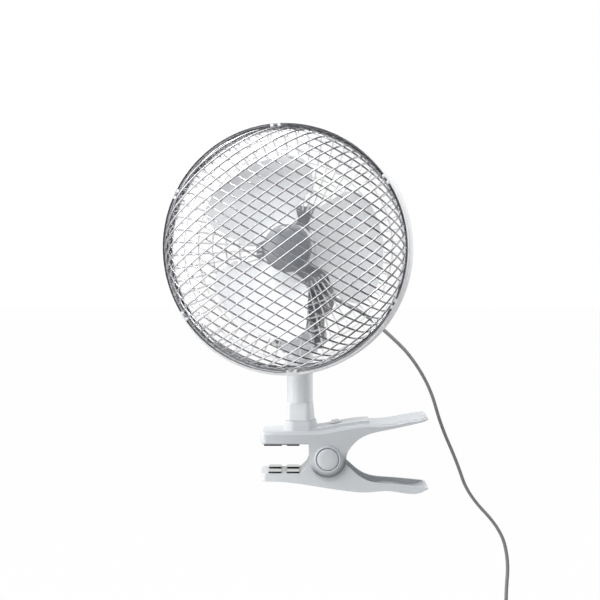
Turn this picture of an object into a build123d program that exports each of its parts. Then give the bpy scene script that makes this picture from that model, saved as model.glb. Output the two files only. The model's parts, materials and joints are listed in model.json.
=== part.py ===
# A clip fan: a guarded fan head on a post that tilts and swivels, carried by a sprung clip.
# Millimetres. +Z is up, +X runs from the jaws to the handles, and the fan blows towards -Y.
# The origin is the middle of the upper jaw's front pad, on the face that grips a shelf.

import os
from math import asin, ceil, copysign, cos, hypot, pi, radians, sin, sqrt, tan

from build123d import *

os.makedirs("parts", exist_ok=True)

# ---- the clip ----
shell_half_width = 22.0
shell_wall = 2.3
jaw_tip_x = -9.6
jaw_top_z = 10.9
jaw_floor_z = 2.4
jaw_gap = 20.0
pad_thickness = 1.4
pivot_x = 42.4
pivot_z = -9.9
cheek_radius = 14.4
clamp_pin_radius = 2.5
nest_gap = 0.4
lower_half_width = shell_half_width - shell_wall - nest_gap
running_gap = 0.05

# ---- the post ----
neck_x = 21.0
seat_top_z = 18.4
collar_height = 13.7
post_radius = 10.0
spigot_radius = 8.0
swivel_yaw = radians(10.7)
tilt_height = 83.8
knuckle_radius = 13.2
knuckle_half_width = 13.0
tilt_bolt_radius = 3.0

# ---- the head: its plane faces along the fan's axis, with +Y up ----
head_height = 153.8
head_reach = 56.0
guard_roll = 3.8
ring_radius = 94.8
ring_bore = 92.6
ring_front = 10.0
ring_back = -8.0
mesh_radius = 89.0
mesh_depth = 39.5
mesh_squareness = 3.2
mesh_hinge = 152.0
mesh_pitch = 7.46
mesh_half_angle = 32.6
wire = 1.5
rear_radius = 89.0
rear_start = -5.0
rear_depth = 39.2
rear_squareness = 2.6
rear_wire_count = 56
rear_ring_radii = (45.0, 55.0, 65.0, 75.0, 84.0)
plate_radius = 33.0
plate_front = -45.1
blade_count = 3
blade_tip_radius = 70.5
hub_radius = 17.6
shaft_radius = 2.5
housing_front = -46.7
housing_seam = -67.0
housing_back = -99.0
housing_radius = 33.0
leg_radius = 22.0
leg_drop = 40.0
housing_wall = 2.2

# ---- the cord: a flat twin lead ----
cord_width = 4.4
cord_thickness = 2.6
coil_radius = 26.0
coil_turns = 5
coil_pitch = 5.8


def write(part, label):
    part.label = label
    export_step(part, f"parts/{label}.step")


# ---- planes and axes that the pieces share ----
turn = (cos(swivel_yaw), -sin(swivel_yaw), 0)
forward = Vector(-sin(swivel_yaw), -cos(swivel_yaw), 0)
neck_centre = Vector(neck_x, 0, 0)
head = Plane(neck_centre + forward * head_reach + Vector(0, 0, head_height), x_dir=turn, z_dir=forward)
head_side = Plane(head.origin, x_dir=turn, z_dir=(0, 0, -1))
head_axis = Axis(head.origin, head.z_dir)


def turned_head(angle):
    """The head's plane turned about the fan's axis by an angle in degrees."""
    across = head.x_dir * cos(radians(angle)) + head.y_dir * sin(radians(angle))
    return Plane(head.origin, x_dir=across, z_dir=head.z_dir)


guard = turned_head(guard_roll)
tilt = Plane(neck_centre + Vector(0, 0, tilt_height), x_dir=forward, z_dir=(-turn[0], -turn[1], 0))
neck = Plane(neck_centre, x_dir=turn, z_dir=(0, 0, 1))
pivot = Plane((pivot_x, 0, pivot_z), x_dir=(1, 0, 0), z_dir=(0, -1, 0))


# ---- guard ring: a deep moulded band with an inner ledge and six hooks ----
ledge_front = -2.0
ledge_back = -4.0
hook_width = 8.0

with BuildPart() as guard_ring:
    with BuildSketch(head_side):
        with BuildLine():
            Polyline(
                (ring_bore, ledge_front),
                (ring_bore, ring_front),
                (93.8, ring_front),
                (ring_radius, ring_front - 1.2),
                (ring_radius, ring_back),
                (ring_bore, ring_back),
                (ring_bore, ledge_back),
                (88.4, ledge_back),
                (88.4, ledge_front),
                close=True,
            )
        make_face()
    revolve(axis=head_axis)
    with BuildSketch(guard.offset(-0.3)):
        with PolarLocations(92.35, 6, start_angle=30):
            Rectangle(1.3, hook_width)
    extrude(amount=9.0)
write(guard_ring.part, "guard_ring")

# ---- the hoop that the mesh is welded to: it lies on the ledge, under the hooks ----
with BuildPart() as mesh_hoop:
    with BuildSketch(head_side):
        with Locations((mesh_radius + 0.2, -1.25)):
            Rectangle(6.2, 1.5)
    revolve(axis=head_axis)
write(mesh_hoop.part, "mesh_hoop")


# ---- front mesh: each wire is the cut of the dome by a plane through one far line ----
def dome_height(radius, rim, depth):
    return depth * (1 - min(radius / rim, 1.0) ** mesh_squareness) ** (1 / mesh_squareness)


def wire_edge(lean, rim, depth, steps):
    """The dome's edge in a plane that leans from the axis, as (along, up) from the far line."""
    half_length = sqrt(rim**2 - (mesh_hinge * tan(lean)) ** 2)
    points = []
    for step in range(steps + 1):
        angle = pi * (step / steps - 0.5)
        along = half_length * copysign(abs(sin(angle)) ** (2 / mesh_squareness), angle)
        low = mesh_hinge / cos(lean)
        high = (mesh_hinge + depth) / cos(lean)
        for _ in range(40):
            middle = (low + high) / 2
            radius = hypot(along, middle * sin(lean))
            if middle * cos(lean) - mesh_hinge < dome_height(radius, rim, depth):
                low = middle
            else:
                high = middle
        points.append((along, low))
    return points


def mesh_layer(angle, shift, phase):
    """One direction of wires, its wire centres lifted off the dome by shift."""
    along = guard.x_dir * cos(angle) + guard.y_dir * sin(angle)
    across = guard.y_dir * cos(angle) - guard.x_dir * sin(angle)
    far_line = guard.origin - guard.z_dir * mesh_hinge
    lean_step = mesh_pitch / (mesh_hinge + mesh_depth)
    rim = mesh_radius + shift
    depth = mesh_depth + shift
    with BuildPart() as layer:
        for number in range(-14, 15):
            lean = (number + phase) * lean_step
            offset = mesh_hinge * tan(lean)
            if abs(offset) > 0.97 * mesh_radius:
                continue
            steps = max(5, round(12 * sqrt(1 - (offset / mesh_radius) ** 2)))
            up = guard.z_dir * cos(lean) + across * sin(lean)
            outer = wire_edge(lean, rim + wire / 2, depth + wire / 2, steps)
            inner = wire_edge(lean, rim - wire / 2, depth - wire / 2, steps)
            with BuildSketch(Plane(far_line, x_dir=along, z_dir=along.cross(up))):
                with BuildLine():
                    Polyline(*outer, *reversed(inner), close=True)
                make_face()
            extrude(amount=wire / 2, both=True)
    return layer.part


write(mesh_layer(radians(mesh_half_angle), 1.05, 0.0), "mesh_wires_outer")
write(mesh_layer(radians(-mesh_half_angle), -2.3, 0.43), "mesh_wires_inner")


# ---- rear guard: radial wires bowed from the rim to a plate, with rings behind them ----
def rear_point(angle, grow):
    """A point of the rear dome's half section, as (radius, height) on the head's axis."""
    radius = (rear_radius + grow) * sin(angle) ** (2 / rear_squareness)
    height = rear_start - (rear_depth + grow) * cos(angle) ** (2 / rear_squareness)
    return radius, height


rear_steps = 3
rear_first = asin((28.0 / rear_radius) ** (rear_squareness / 2))
rear_angles = [rear_first + (pi / 2 - rear_first) * i / rear_steps for i in range(rear_steps + 1)]

with BuildPart() as rear_wires:
    for number in range(rear_wire_count):
        spoke = turned_head(guard_roll + 360 * number / rear_wire_count)
        with BuildSketch(Plane(spoke.origin, x_dir=spoke.x_dir, z_dir=-spoke.y_dir)):
            with BuildLine():
                Polyline(
                    *[rear_point(angle, wire / 2) for angle in rear_angles],
                    *[rear_point(angle, -wire / 2) for angle in reversed(rear_angles)],
                    close=True,
                )
            make_face()
        extrude(amount=wire / 2, both=True)
write(rear_wires.part, "rear_wires")

ring_sides = rear_wire_count // 2
ring_clearance = 0.7
with BuildPart() as rear_rings:
    for radius in rear_ring_radii:
        inner = radius * cos(pi / ring_sides) - wire
        slope = asin((inner / rear_radius) ** (rear_squareness / 2))
        height = rear_point(slope, wire / 2)[1] - wire - ring_clearance
        with BuildSketch(guard.offset(height)):
            RegularPolygon(radius, ring_sides)
            RegularPolygon(radius - wire, ring_sides, mode=Mode.SUBTRACT)
        extrude(amount=wire)
    with BuildSketch(guard.offset(rear_start + 0.05)):
        RegularPolygon(91.8, ring_sides)
        RegularPolygon(89.6, ring_sides, mode=Mode.SUBTRACT)
    extrude(amount=wire / 2)
write(rear_rings.part, "rear_rings")

screw_circle = 24.0
with BuildPart() as rear_hub_plate:
    with BuildSketch(head.offset(housing_front)):
        Circle(plate_radius)
        Circle(8.0, mode=Mode.SUBTRACT)
        with PolarLocations(screw_circle, 3, start_angle=90):
            RegularPolygon(1.6, 8, mode=Mode.SUBTRACT)
    extrude(amount=plate_front - housing_front)
write(rear_hub_plate.part, "rear_hub_plate")

# Three pan head screws hold the plate and its wires to the housing.
with BuildPart() as guard_screws:
    with BuildSketch(head.offset(plate_front)):
        with PolarLocations(screw_circle, 3, start_angle=90):
            RegularPolygon(3.2, 8)
    extrude(amount=1.4)
    with BuildSketch(head.offset(plate_front)):
        with PolarLocations(screw_circle, 3, start_angle=90):
            RegularPolygon(1.5, 8)
    extrude(amount=-7.0)
write(guard_screws.part, "guard_screws")


# ---- impeller: a hollow hub with three broad blades, raked so that they throw air forward ----
hub_front = -7.0
hub_back = -27.0
blade_root = 15.0
blade_reach = 50.0
blade_rake = radians(17.3)
blade_camber = 5.0
blade_skin = 1.8


def blade(centre_angle):
    """A raked, cambered plate drawn outwards from the hub and trimmed to the blade's outline."""
    radial = head.x_dir * cos(centre_angle) + head.y_dir * sin(centre_angle)
    sideways = head.y_dir * cos(centre_angle) - head.x_dir * sin(centre_angle)
    middle = head.origin + head.z_dir * ((hub_front + hub_back) / 2)
    rise = blade_reach * tan(blade_rake)
    with BuildPart() as plate:
        with BuildSketch(Plane(middle + radial * blade_root, x_dir=sideways, z_dir=radial)):
            with BuildLine():
                lower = ThreePointArc((-blade_reach, -rise), (0, -blade_camber), (blade_reach, rise))
                upper = ThreePointArc(
                    (-blade_reach, -rise + blade_skin),
                    (0, -blade_camber + blade_skin),
                    (blade_reach, rise + blade_skin),
                )
                Line(lower @ 0, upper @ 0)
                Line(lower @ 1, upper @ 1)
            make_face()
        extrude(amount=blade_tip_radius)
        outline = Plane(middle - head.z_dir * 40, x_dir=radial, z_dir=head.z_dir)
        with BuildSketch(outline):
            with BuildLine():
                tip_x = blade_tip_radius * cos(radians(42))
                tip_y = blade_tip_radius * sin(radians(42))
                tip = ThreePointArc((tip_x, -tip_y), (blade_tip_radius, 0), (tip_x, tip_y))
                Polyline(tip @ 1, (20, 29), (11, 13), (11, -13), (25.9, -17.5), (31.8, -34.7), tip @ 0)
            make_face()
            fillet(vertices().group_by(Axis.X)[-1], radius=15)
        extrude(amount=80, mode=Mode.INTERSECT)
    return plate.part


blades = [blade(radians(360 * number / blade_count)) for number in range(blade_count)]

with BuildPart() as impeller:
    with BuildSketch(head_side):
        with BuildLine():
            Polyline(
                (shaft_radius, -26.0),
                (6.0, -26.0),
                (6.0, hub_front - 2.5),
                (hub_radius - 2.2, hub_front - 2.5),
                (hub_radius - 2.2, hub_back),
                (hub_radius, hub_back),
                (hub_radius, hub_front),
                (shaft_radius, hub_front),
                close=True,
            )
        make_face()
    revolve(axis=head_axis)
    for vane in blades:
        add(vane)
    with BuildSketch(head.offset(-40)):
        Circle(hub_radius - 2.2)
        Circle(6.0, mode=Mode.SUBTRACT)
    extrude(amount=40 + hub_front - 2.5, mode=Mode.SUBTRACT)
    with BuildSketch(head.offset(-40)):
        Circle(shaft_radius)
    extrude(amount=50, mode=Mode.SUBTRACT)
write(impeller.part, "impeller")

# The cap closes the front of the hub with a shallow dome.
cap_nose = 3.0
cap_curve = 38.0
cap_radius = 18.2
with BuildPart() as spinner_cap:
    with BuildSketch(head_side):
        with BuildLine():
            dome = [(r, cap_nose - cap_curve + sqrt(cap_curve**2 - r**2)) for r in (7.5, 14.0)]
            Polyline(
                (0, dome[0][1]),
                *dome,
                (cap_radius, -3.0),
                (cap_radius, -8.0),
                (hub_radius + 0.1, -8.0),
                (hub_radius + 0.1, -6.8),
                (0, -6.8),
                close=True,
            )
        make_face()
    revolve(axis=head_axis)
write(spinner_cap.part, "spinner_cap")

shaft_end = -93.0
with BuildPart() as motor_shaft:
    with BuildSketch(head.offset(shaft_end)):
        Circle(shaft_radius)
    extrude(amount=hub_front - shaft_end)
    chamfer(motor_shaft.edges().filter_by(GeomType.CIRCLE), length=0.4)
write(motor_shaft.part, "motor_shaft")


# ---- motor housing: two shells of an egg-shaped outline, with ears that straddle the knuckle ----
ear_inner = knuckle_half_width + 0.4
ear_outer = ear_inner + 4.5
ear_radius = 9.3
knuckle_room = knuckle_radius + 0.8
inner_front = housing_front - housing_wall
inner_back = housing_back + housing_wall
bush_radius = 5.0
bush_length = 7.0
gland_drop = 38.0
shell_screw_places = ((21.3, 14.9), (-21.3, 14.9), (0, -50.0))
boss_radius = 4.2
screw_sink_radius = 2.9


def egg(shrink):
    """The housing's outline: a large circle round the shaft hulled with a smaller one below it."""
    Circle(housing_radius - shrink)
    with Locations((0, -leg_drop)):
        Circle(leg_radius - shrink)
    make_hull()


with BuildPart() as motor_front_shell:
    with BuildSketch(head.offset(housing_front)):
        egg(0)
    extrude(amount=housing_seam - housing_front)
    chamfer(motor_front_shell.faces().sort_by(head_axis)[-1].edges(), length=2.0)
    with BuildSketch(head.offset(inner_front)):
        egg(housing_wall)
    extrude(amount=housing_seam - inner_front, mode=Mode.SUBTRACT)
    with BuildSketch(head.offset(inner_front)):
        Circle(8.0)
        Circle(bush_radius, mode=Mode.SUBTRACT)
    extrude(amount=-bush_length)
    with BuildSketch(head.offset(inner_front)):
        with Locations(*shell_screw_places):
            Circle(boss_radius)
    extrude(amount=housing_seam - inner_front)
    for side in (-1, 1):
        with BuildSketch(tilt.offset(side * (ear_inner + ear_outer) / 2)):
            SlotCenterPoint((0, 9.5), (0, 0), 2 * ear_radius)
        extrude(amount=(ear_outer - ear_inner) / 2, both=True)
    with BuildSketch(tilt):
        Circle(knuckle_room)
        with Locations((0, -20)):
            Rectangle(2 * knuckle_room, 40)
    extrude(amount=ear_inner, both=True, mode=Mode.SUBTRACT)
    with BuildSketch(tilt):
        Circle(tilt_bolt_radius)
    extrude(amount=ear_outer, both=True, mode=Mode.SUBTRACT)
    with BuildSketch(head.offset(housing_front)):
        Circle(shaft_radius + 0.8)
        with PolarLocations(screw_circle, 3, start_angle=90):
            RegularPolygon(1.5, 8)
    extrude(amount=-housing_wall, mode=Mode.SUBTRACT)
write(motor_front_shell.part, "motor_front_shell")

back_slope = 8.0
vent_count = 5
vent_pitch = 6.0
with BuildPart() as rear_room:
    with BuildSketch(head.offset(housing_seam)):
        egg(housing_wall)
    extrude(amount=inner_back - housing_seam)
    chamfer(rear_room.faces().sort_by(head_axis)[0].edges(), length=back_slope - 1.0)

with BuildPart() as motor_rear_shell:
    with BuildSketch(head.offset(housing_seam)):
        egg(0)
    extrude(amount=housing_back - housing_seam)
    chamfer(motor_rear_shell.faces().sort_by(head_axis)[0].edges(), length=back_slope)
    add(rear_room, mode=Mode.SUBTRACT)
    with BuildSketch(head.offset(inner_back)):
        Circle(8.0)
        Circle(bush_radius, mode=Mode.SUBTRACT)
    extrude(amount=bush_length)
    with BuildSketch(head.offset(inner_back)):
        with Locations(*shell_screw_places):
            Circle(boss_radius)
    extrude(amount=housing_seam - inner_back)
    with BuildSketch(tilt):
        Circle(knuckle_room)
    extrude(amount=ear_inner, both=True, mode=Mode.SUBTRACT)
    with BuildSketch(head.offset(housing_back)):
        with Locations(*shell_screw_places):
            Circle(screw_sink_radius)
    extrude(amount=4.0, mode=Mode.SUBTRACT)
    with BuildSketch(head.offset(housing_back)):
        with GridLocations(vent_pitch, 0, vent_count, 1):
            SlotOverall(24, 2.6, rotation=90)
        with Locations((0, -gland_drop)):
            Circle(4.0)
    extrude(amount=housing_wall, mode=Mode.SUBTRACT)
    with BuildSketch(head.offset(housing_back)):
        with Locations(*shell_screw_places):
            RegularPolygon(1.5, 8)
    extrude(amount=20.0, mode=Mode.SUBTRACT)
write(motor_rear_shell.part, "motor_rear_shell")

# Three long screws pass through the back shell's sunk holes into the front shell's pillars.
with BuildPart() as shell_screws:
    with BuildSketch(head.offset(housing_back + 4.0)):
        with Locations(*shell_screw_places):
            RegularPolygon(2.6, 8)
    extrude(amount=-2.0)
    with BuildSketch(head.offset(housing_back + 4.0)):
        with Locations(*shell_screw_places):
            RegularPolygon(1.4, 8)
    extrude(amount=16.0)
write(shell_screws.part, "shell_screws")

# ---- motor: a laminated core with one winding, a rotor on the shaft and two sleeve bushes ----
core_front = -67.5
core_back = -80.5
rotor_radius = 11.5
with BuildPart() as stator_core:
    with BuildSketch(head.offset(core_back)):
        with Locations((0, -11)):
            Rectangle(32, 62)
        Circle(rotor_radius + 0.5, mode=Mode.SUBTRACT)
        with Locations((0, -26)):
            Rectangle(24, 16, mode=Mode.SUBTRACT)
    extrude(amount=core_front - core_back)
write(stator_core.part, "stator_core")

with BuildPart() as stator_winding:
    with BuildSketch(head.offset(core_back - 5)):
        with Locations((0, -37)):
            Rectangle(22, 17)
    extrude(amount=core_front - core_back + 10)
    with BuildSketch(head.offset(core_back)):
        with Locations((0, -38)):
            Rectangle(34, 8)
    extrude(amount=core_front - core_back, mode=Mode.SUBTRACT)
write(stator_winding.part, "stator_winding")

with BuildPart() as rotor:
    with BuildSketch(head.offset(core_back)):
        Circle(rotor_radius)
        Circle(shaft_radius, mode=Mode.SUBTRACT)
    extrude(amount=core_front - core_back)
write(rotor.part, "rotor")

for label, place in (("front_bush", inner_front - bush_length), ("rear_bush", inner_back)):
    with BuildPart() as bush:
        with BuildSketch(head.offset(place)):
            Circle(bush_radius)
            Circle(shaft_radius + running_gap, mode=Mode.SUBTRACT)
        extrude(amount=bush_length)
    write(bush.part, label)

# ---- post: a tube with the tilt knuckle on top, a flared square collar and a spigot below ----
ring_room = 2.2
spigot_end = 6.4
with BuildPart() as neck_post:
    with BuildSketch(neck.offset(seat_top_z + collar_height)):
        Circle(post_radius)
    extrude(amount=tilt_height - seat_top_z - collar_height)
    with BuildSketch(tilt):
        Circle(knuckle_radius)
    extrude(amount=knuckle_half_width, both=True)
    with BuildSketch(neck.offset(seat_top_z + 0.2)):
        RectangleRounded(21.4, 21.4, 5.4)
    extrude(amount=collar_height, taper=5.6)
    with BuildSketch(neck.offset(spigot_end)):
        Circle(spigot_radius)
    extrude(amount=seat_top_z + 1 - spigot_end)
    with BuildSketch(neck.offset(spigot_end)):
        Circle(5.0)
    extrude(amount=tilt_height - knuckle_radius - 4 - spigot_end, mode=Mode.SUBTRACT)
    with BuildSketch(tilt):
        Circle(tilt_bolt_radius + running_gap)
    extrude(amount=knuckle_half_width, both=True, mode=Mode.SUBTRACT)
write(neck_post.part, "neck_post")

# The ring is pushed onto the spigot under the seat and keeps the post in the clip.
with BuildPart() as swivel_ring:
    with BuildSketch(neck.offset(spigot_end)):
        Circle(11.0)
        Circle(spigot_radius, mode=Mode.SUBTRACT)
    extrude(amount=1.9)
write(swivel_ring.part, "swivel_ring")

with BuildPart() as tilt_bolt:
    with BuildSketch(tilt.offset(-ear_outer)):
        Circle(tilt_bolt_radius)
    extrude(amount=2 * ear_outer + 3.0)
    with BuildSketch(tilt.offset(-ear_outer)):
        Circle(5.4)
    extrude(amount=-2.4)
write(tilt_bolt.part, "tilt_bolt")

with BuildPart() as tilt_nut:
    with BuildSketch(tilt.offset(ear_outer)):
        RegularPolygon(radius=5.6, side_count=6)
        Circle(tilt_bolt_radius, mode=Mode.SUBTRACT)
    extrude(amount=3.0)
write(tilt_nut.part, "tilt_nut")

# ---- upper half of the clip: a crowned channel with two cheeks, the jaw floor and the seat ----
handle_tip_x = 120.8
crest_points = ((28, jaw_top_z), (54.3, 14.5), (71.9, 16.8), (89.5, 17.6), (103.6, 20.2), (handle_tip_x, 23.2))
shell_inner = shell_half_width - shell_wall
panel_height = 2.2
panel_half_width = 14.0
switch_x = 49.0
switch_top = 15.7
switch_slope = radians(11.2)
switch = Plane(
    (switch_x, 0, switch_top),
    x_dir=(cos(switch_slope), 0, sin(switch_slope)),
    z_dir=(-sin(switch_slope), 0, cos(switch_slope)),
)


def crest_line(lift):
    return [(x, z + lift) for x, z in crest_points]


with BuildPart() as upper_jaw:
    with BuildSketch(Plane.XZ.offset(-shell_half_width)):
        with BuildLine():
            deck = Line((jaw_tip_x, jaw_top_z), crest_points[0])
            crest = Spline(*crest_points, tangents=((1, 0), (1, 0.25)))
            tip = Line(crest @ 1, (handle_tip_x - 0.3, 20.3))
            grip = Spline(
                tip @ 1,
                (103.6, 16.0),
                (89.8, 13.0),
                (75.7, 9.9),
                (66.5, 5.4),
                (60.1, -1.1),
                (pivot_x + cheek_radius, pivot_z),
                tangents=((-1, -0.35), (0, -1)),
            )
            cheek = ThreePointArc(
                grip @ 1,
                (pivot_x, pivot_z - cheek_radius),
                (pivot_x - cheek_radius, pivot_z),
            )
            Polyline(
                cheek @ 1,
                (pivot_x - cheek_radius, jaw_floor_z),
                (jaw_tip_x, jaw_floor_z),
                deck @ 0,
            )
        make_face()
    extrude(amount=2 * shell_half_width)
    corners = upper_jaw.edges().filter_by(Axis.Y, reverse=True).filter_by(lambda e: e.length < 9)
    fillet(corners.group_by(Axis.X)[0], radius=5.0)
    fillet(corners.group_by(Axis.X)[-1], radius=6.0)
    tops = upper_jaw.faces().filter_by(lambda f: f.normal_at().Z > 0.8)
    rims = tops.edges().filter_by(lambda e: abs(e.center().Y) > 1 or abs(e.center().X - 28) > 5)
    chamfer(rims, length=2.0)
    with BuildSketch(Plane.XZ):
        with BuildLine():
            low = Spline(*crest_line(-0.6), tangents=((1, 0), (1, 0.25)))
            high = Spline(*crest_line(panel_height), tangents=((1, 0), (1, 0.25)))
            Line(low @ 0, high @ 0)
            Line(low @ 1, high @ 1)
        make_face()
        with Locations((53, 14)):
            Rectangle(44, 16, mode=Mode.INTERSECT)
    extrude(amount=panel_half_width, both=True)
    with BuildSketch(Plane.XZ):
        with BuildLine():
            under = Spline(*crest_line(-shell_wall), tangents=((1, 0), (1, 0.25)))
            Polyline(
                under @ 1,
                (handle_tip_x, -40),
                (jaw_tip_x + shell_wall, -40),
                (jaw_tip_x + shell_wall, jaw_top_z - shell_wall),
                under @ 0,
            )
        make_face()
        with Locations((handle_tip_x - shell_wall, 0)):
            Rectangle(200, 100, align=(Align.MAX, Align.CENTER), mode=Mode.INTERSECT)
    extrude(amount=shell_inner, both=True, mode=Mode.SUBTRACT)
    with BuildSketch(Plane.XZ):
        with Locations((jaw_tip_x + 1.5, pad_thickness)):
            Rectangle(pivot_x - cheek_radius - jaw_tip_x - 1.5, 3.0, align=(Align.MIN, Align.MIN))
        with Locations((pivot_x - cheek_radius, -8.5)):
            Rectangle(2.2, 13.6, align=(Align.MIN, Align.MIN))
    extrude(amount=shell_inner + 0.5, both=True)
    with BuildSketch(Plane.XY.offset(jaw_top_z - 0.5)):
        with Locations((neck_x + 0.8, 0)):
            RectangleRounded(27.6, 30.0, 9.0)
    extrude(amount=seat_top_z - jaw_top_z + 0.5, taper=15)
    with BuildSketch(Plane.XY.offset(jaw_top_z - shell_wall)):
        with Locations((neck_x, 0)):
            Circle(spigot_radius + running_gap)
    extrude(amount=10, mode=Mode.SUBTRACT)
    with BuildSketch(switch.offset(-3.0)):
        with GridLocations(17.6, 0, 2, 1):
            Rectangle(1.3, 8)
    extrude(amount=-7.3)
    with BuildSketch(switch):
        Rectangle(10.6, 3.3)
    extrude(amount=8, both=True, mode=Mode.SUBTRACT)
    with BuildSketch(pivot):
        Circle(clamp_pin_radius)
    extrude(amount=shell_half_width, both=True, mode=Mode.SUBTRACT)
write(upper_jaw.part, "upper_jaw")

# ---- slide switch: a knob on the panel whose stem runs in the slot down to the switch ----
switch_depth = 5.0
with BuildPart() as switch_body:
    with BuildSketch(switch.offset(-switch_depth)):
        Rectangle(16, 8)
    extrude(amount=-6.0)
    with BuildSketch(switch.offset(-switch_depth)):
        Rectangle(11, 3.4)
    extrude(amount=-2.5, mode=Mode.SUBTRACT)
write(switch_body.part, "switch_body")

with BuildPart() as switch_knob:
    with BuildSketch(switch.offset(0.4)):
        Rectangle(6.4, 5.4)
    extrude(amount=2.6)
    chamfer(switch_knob.faces().sort_by(Axis.Z)[-1].edges(), length=0.7)
    with BuildSketch(switch.offset(0.4)):
        Rectangle(4.0, 3.0)
    extrude(amount=-6.8)
write(switch_knob.part, "switch_knob")

# ---- lower half of the clip: a channel open at the top, nested between the upper cheeks ----
lower_inner = lower_half_width - shell_wall
ledge_top = -jaw_gap - pad_thickness
hub_reach = 11.0
lower_bottom = (
    (handle_tip_x, -33.3),
    (111.5, -37.3),
    (89.8, -35.2),
    (71.9, -36.3),
    (63.8, -35.9),
    (34, -31.7),
    (-3.1, -27.8),
)

with BuildPart() as lower_jaw:
    with BuildSketch(Plane.XZ.offset(-lower_half_width)):
        with BuildLine():
            Polyline(
                (-9.2, -27.6),
                (-9.2, ledge_top),
                (20.6, ledge_top),
                (22.4, -20.3),
                (26.5, -16.2),
                (28.5, -11.5),
                (34, -2.8),
            )
            crown = ThreePointArc((34, -2.8), (pivot_x, pivot_z + hub_reach), (pivot_x + hub_reach, pivot_z))
            back = Spline(
                crown @ 1,
                (57.3, -15.5),
                (66.5, -23.3),
                (75.7, -28.0),
                (88.7, -29.8),
                (119.0, -32.5),
                tangents=((0, -1), (1, -0.1)),
            )
            Line(back @ 1, lower_bottom[0])
            belly = Spline(*lower_bottom)
            Line(belly @ 1, (-9.2, -27.6))
        make_face()
    extrude(amount=2 * lower_half_width)
    nose = lower_jaw.edges().filter_by(Axis.Z).group_by(Axis.X)[0]
    fillet(nose, radius=4.0)
    with BuildSketch(Plane.XZ):
        with BuildLine():
            lifted = Spline(*[(x, z + shell_wall) for x, z in lower_bottom])
            Polyline(lifted @ 1, (-6.9, -25.2), (-6.9, 10), (130, 10), lifted @ 0)
        make_face()
        with Locations((118.5, 0)):
            Rectangle(200, 200, align=(Align.MAX, Align.CENTER), mode=Mode.INTERSECT)
    extrude(amount=lower_inner, both=True, mode=Mode.SUBTRACT)
    with BuildSketch(Plane.XZ):
        with BuildLine():
            Polyline(
                (-8.0, ledge_top),
                (20.6, ledge_top),
                (22.4, -20.3),
                (26.5, -16.2),
                (28.3, -12.0),
                (30.2, -13.0),
                (28.2, -17.4),
                (23.4, -22.2),
                (20.8, ledge_top - 2.2),
                (-8.0, ledge_top - 2.2),
                close=True,
            )
        make_face()
    extrude(amount=lower_inner + 0.2, both=True)
    with BuildSketch(pivot):
        Circle(clamp_pin_radius + running_gap)
    extrude(amount=lower_half_width, both=True, mode=Mode.SUBTRACT)
write(lower_jaw.part, "lower_jaw")

# ---- rubber strips: two columns and two rows on each jaw ----
pad_row = 11.0
pad_width = 11.6
for label, columns, base, height in (
    ("upper_pads", ((-7.0, 7.0), (10.8, 20.6)), pad_thickness, -pad_thickness),
    ("lower_pads", ((-3.6, 6.4), (10.6, 20.4)), ledge_top, pad_thickness),
):
    with BuildPart() as pads:
        with BuildSketch(Plane.XY.offset(base)):
            for start, end in columns:
                with Locations(((start + end) / 2, -pad_row), ((start + end) / 2, pad_row)):
                    Rectangle(end - start, pad_width)
        extrude(amount=height)
    write(pads.part, label)

# ---- axle of the clip, fixed in the upper cheeks, with a cap on each end ----
pin_cap_radius = 10.2
pin_end = shell_half_width
with BuildPart() as clamp_pin:
    with BuildSketch(pivot.offset(-pin_end)):
        Circle(clamp_pin_radius)
    extrude(amount=2 * pin_end)
write(clamp_pin.part, "clamp_pin")

for label, side in (("pin_cap_near", 1), ("pin_cap_far", -1)):
    with BuildPart() as cap:
        with BuildSketch(pivot.offset(side * shell_half_width)):
            Circle(pin_cap_radius)
        extrude(amount=side * 1.5)
        with BuildSketch(pivot.offset(side * (shell_half_width + 1.5))):
            Circle(8.3)
        extrude(amount=side * 1.2)
    write(cap.part, label)


# ---- wound forms: tubes swept on arcs of half a turn that meet along their tangents ----
def least_gap(path, thickness, loop):
    """The least room between two loops of a wound path, from points along it."""
    step = 1.5
    count = ceil(path.length / step)
    points = [path @ (i / count) for i in range(count + 1)]
    skip = round(loop / 2 / step)
    nearest = min((a - b).length for i, a in enumerate(points) for b in points[i + skip :])
    return nearest - thickness


def half_turns(radius, rise, count):
    """Half turns from (radius, 0, 0), each climbing by rise."""
    for number in range(count):
        side = 1 if number % 2 == 0 else -1
        start = (side * radius, 0, number * rise)
        middle = (0, side * radius, (number + 0.5) * rise)
        end = (-side * radius, 0, (number + 1) * rise)
        ThreePointArc(start, middle, end)


spring_wire = 1.8
spring_radius = 6.2
spring_pitch = 3.6
spring_half_turns = 4
spring_angle = radians(130)
upper_leg = 25.8
lower_leg = 22.4
spring_height = spring_half_turns * spring_pitch / 2
spring = Plane(
    (pivot_x, spring_height / 2 + 3.0, pivot_z),
    x_dir=(cos(spring_angle), 0, sin(spring_angle)),
    z_dir=(0, -1, 0),
)

with BuildPart() as torsion_spring:
    with BuildLine(spring) as spring_path:
        Line((spring_radius, -upper_leg, 0), (spring_radius, 0, 0))
        half_turns(spring_radius, spring_pitch / 2, spring_half_turns)
        quarter = ThreePointArc(
            (spring_radius, 0, spring_height),
            (spring_radius * cos(pi / 4), spring_radius * sin(pi / 4), spring_height),
            (0, spring_radius, spring_height),
        )
        Line(quarter @ 1, (-lower_leg, spring_radius, spring_height))
    with BuildSketch(Plane(spring_path.wire() @ 0, z_dir=spring_path.wire() % 0)):
        RegularPolygon(radius=spring_wire / 2, side_count=4)
    sweep(path=spring_path.wire())
write(torsion_spring.part, "torsion_spring")
spring_gap = least_gap(spring_path.wire(), spring_wire, 2 * pi * spring_radius)
print(f"torsion_spring least gap {spring_gap:.2f}")

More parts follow.
